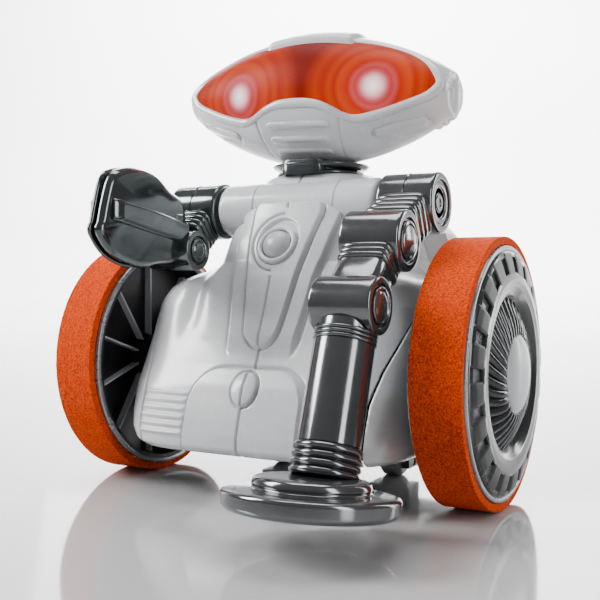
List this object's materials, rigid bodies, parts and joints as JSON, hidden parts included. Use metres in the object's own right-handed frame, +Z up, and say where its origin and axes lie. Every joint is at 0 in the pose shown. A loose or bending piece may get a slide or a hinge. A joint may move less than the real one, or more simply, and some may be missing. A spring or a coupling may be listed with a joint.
{
  "type": "self balancing toy robot",
  "caption": "Two-wheeled toy robot with a turning visored head, a magnet-foot arm, a claw arm, foam tyres and small rear rollers.",
  "frame": {"origin": "on the floor, at the middle of the box that encloses the robot at rest", "axes": "+Z up; the robot faces -Y and its own left side is +X; the wheel axles lie along X"},
  "size_m": [0.1312, 0.1214, 0.133],
  "materials": {
    "shell_white": "satin gloss",
    "trim_grey": "satin",
    "dark_plastic": "gloss",
    "black_plastic": "satin",
    "arm_chrome": "dark plated plastic",
    "claw_dark": "high gloss",
    "turbine_grey": "satin gloss",
    "foam_orange": "open-cell foam",
    "visor_red": "translucent gloss",
    "led_glow": "lit lens",
    "steel": "bright",
    "cell_sleeve": "gloss",
    "board_green": "satin"
  },
  "bodies": {
    "torso": {"torso_shell_left": "shell_white", "torso_shell_right": "shell_white", "side_panel_left": "shell_white", "side_panel_right": "shell_white", "back_housing": "shell_white", "battery_door": "trim_grey", "battery_door_screw": "steel", "chassis_plate": "dark_plastic", "battery_tray": "black_plastic", "battery_cell_1": "cell_sleeve", "battery_cell_2": "cell_sleeve", "battery_cell_3": "cell_sleeve", "battery_cell_4": "cell_sleeve", "gearbox_left": "black_plastic", "gearbox_right": "black_plastic", "motor_left": "steel", "motor_right": "steel", "circuit_board": "board_green", "button_ring": "shell_white", "neck_base": "dark_plastic", "roller_bracket_left": "dark_plastic", "roller_bracket_right": "dark_plastic"},
    "chest_button": {"chest_button": "trim_grey"},
    "program_key_1": {"program_key_1": "dark_plastic"},
    "program_key_2": {"program_key_2": "dark_plastic"},
    "program_key_3": {"program_key_3": "dark_plastic"},
    "power_switch": {"power_switch": "dark_plastic"},
    "wheel_left": {"tyre_left": "foam_orange", "rim_left": "black_plastic", "turbine_cover_left": "turbine_grey", "hub_cap_left": "trim_grey", "axle_left": "steel"},
    "wheel_right": {"tyre_right": "foam_orange", "rim_right": "black_plastic", "turbine_cover_right": "turbine_grey", "hub_cap_right": "trim_grey", "axle_right": "steel"},
    "roller_left": {"rear_roller_left": "trim_grey"},
    "roller_right": {"rear_roller_right": "trim_grey"},
    "head": {"neck_plate": "dark_plastic", "face_shell": "shell_white", "head_shell_rear": "shell_white", "visor": "visor_red", "chin_panel": "shell_white", "crown_ridge": "shell_white", "ear_cap_left": "shell_white", "ear_cap_right": "shell_white", "eye_led_left": "led_glow", "eye_led_right": "led_glow", "eye_board": "black_plastic"},
    "left_upper_arm": {"left_upper_arm": "arm_chrome"},
    "left_elbow_link": {"left_elbow_link": "arm_chrome"},
    "left_forearm": {"left_forearm": "arm_chrome", "magnet_foot": "arm_chrome", "foot_magnet": "steel"},
    "right_upper_arm": {"right_upper_arm": "claw_dark"},
    "claw_palm": {"claw_palm": "claw_dark"},
    "claw_jaw_inner": {"claw_jaw_inner": "claw_dark"},
    "claw_jaw_outer": {"claw_jaw_outer": "claw_dark"}
  },
  "joints": [
    {"name": "wheel_left_spin", "type": "hinge", "parent": "torso", "child": "wheel_left", "pos_m": [0.054, 0.0154, 0.035], "axis": [1, 0, 0], "continuous": true},
    {"name": "wheel_right_spin", "type": "hinge", "parent": "torso", "child": "wheel_right", "pos_m": [-0.054, 0.0154, 0.035], "axis": [1, 0, 0], "continuous": true},
    {"name": "roller_left_spin", "type": "hinge", "parent": "torso", "child": "roller_left", "pos_m": [0.019, 0.0404, 0.0046], "axis": [1, 0, 0], "continuous": true},
    {"name": "roller_right_spin", "type": "hinge", "parent": "torso", "child": "roller_right", "pos_m": [-0.019, 0.0404, 0.0046], "axis": [1, 0, 0], "continuous": true},
    {"name": "head_turn", "type": "hinge", "parent": "torso", "child": "head", "pos_m": [0, 0.0289, 0.0924], "axis": [0, 0, 1], "range_deg": [-60, 60]},
    {"name": "left_shoulder_swing", "type": "hinge", "parent": "torso", "child": "left_upper_arm", "pos_m": [0.034, 0.0184, 0.0795], "axis": [1, 0, 0], "range_deg": [-60, 2]},
    {"name": "left_elbow_bend", "type": "hinge", "parent": "left_upper_arm", "child": "left_elbow_link", "pos_m": [0.034, -0.0046, 0.0686], "axis": [1, 0, 0], "range_deg": [-30, 3]},
    {"name": "left_wrist_bend", "type": "hinge", "parent": "left_elbow_link", "child": "left_forearm", "pos_m": [0.034, -0.0213, 0.053], "axis": [1, 0, 0], "range_deg": [-40, 2]},
    {"name": "right_shoulder_swing", "type": "hinge", "parent": "torso", "child": "right_upper_arm", "pos_m": [-0.0345, 0.0184, 0.0795], "axis": [1, 0, 0], "range_deg": [-52, 4]},
    {"name": "right_elbow_bend", "type": "hinge", "parent": "right_upper_arm", "child": "claw_palm", "pos_m": [-0.0345, 0.0033, 0.0674], "axis": [1, 0, 0], "range_deg": [-18, 8]},
    {"name": "claw_jaw_inner_open", "type": "hinge", "parent": "claw_palm", "child": "claw_jaw_inner", "pos_m": [-0.0314, -0.0026, 0.0744], "axis": [0, 0.0523, 0.9986], "range_deg": [0, 30]},
    {"name": "claw_jaw_outer_open", "type": "hinge", "parent": "claw_palm", "child": "claw_jaw_outer", "pos_m": [-0.0376, -0.0026, 0.0744], "axis": [0, 0.0523, 0.9986], "range_deg": [-30, 0]},
    {"name": "chest_button_press", "type": "slide", "parent": "torso", "child": "chest_button", "axis": [0, 0.8712, -0.4909], "range_m": [0, 0.0008], "stiffness_N_per_m": 400},
    {"name": "program_key_1_press", "type": "slide", "parent": "torso", "child": "program_key_1", "axis": [0, -1, 0], "range_m": [0, 0.0008], "stiffness_N_per_m": 400},
    {"name": "program_key_2_press", "type": "slide", "parent": "torso", "child": "program_key_2", "axis": [0, -1, 0], "range_m": [0, 0.0008], "stiffness_N_per_m": 400},
    {"name": "program_key_3_press", "type": "slide", "parent": "torso", "child": "program_key_3", "axis": [0, -1, 0], "range_m": [0, 0.0008], "stiffness_N_per_m": 400},
    {"name": "power_switch_slide", "type": "slide", "parent": "torso", "child": "power_switch", "axis": [0, 0, 1], "range_m": [-0.0025, 0.0025]}
  ],
  "couplings": [
    {"joint": "claw_jaw_outer_open", "follows": "claw_jaw_inner_open", "ratio": -1}
  ]
}
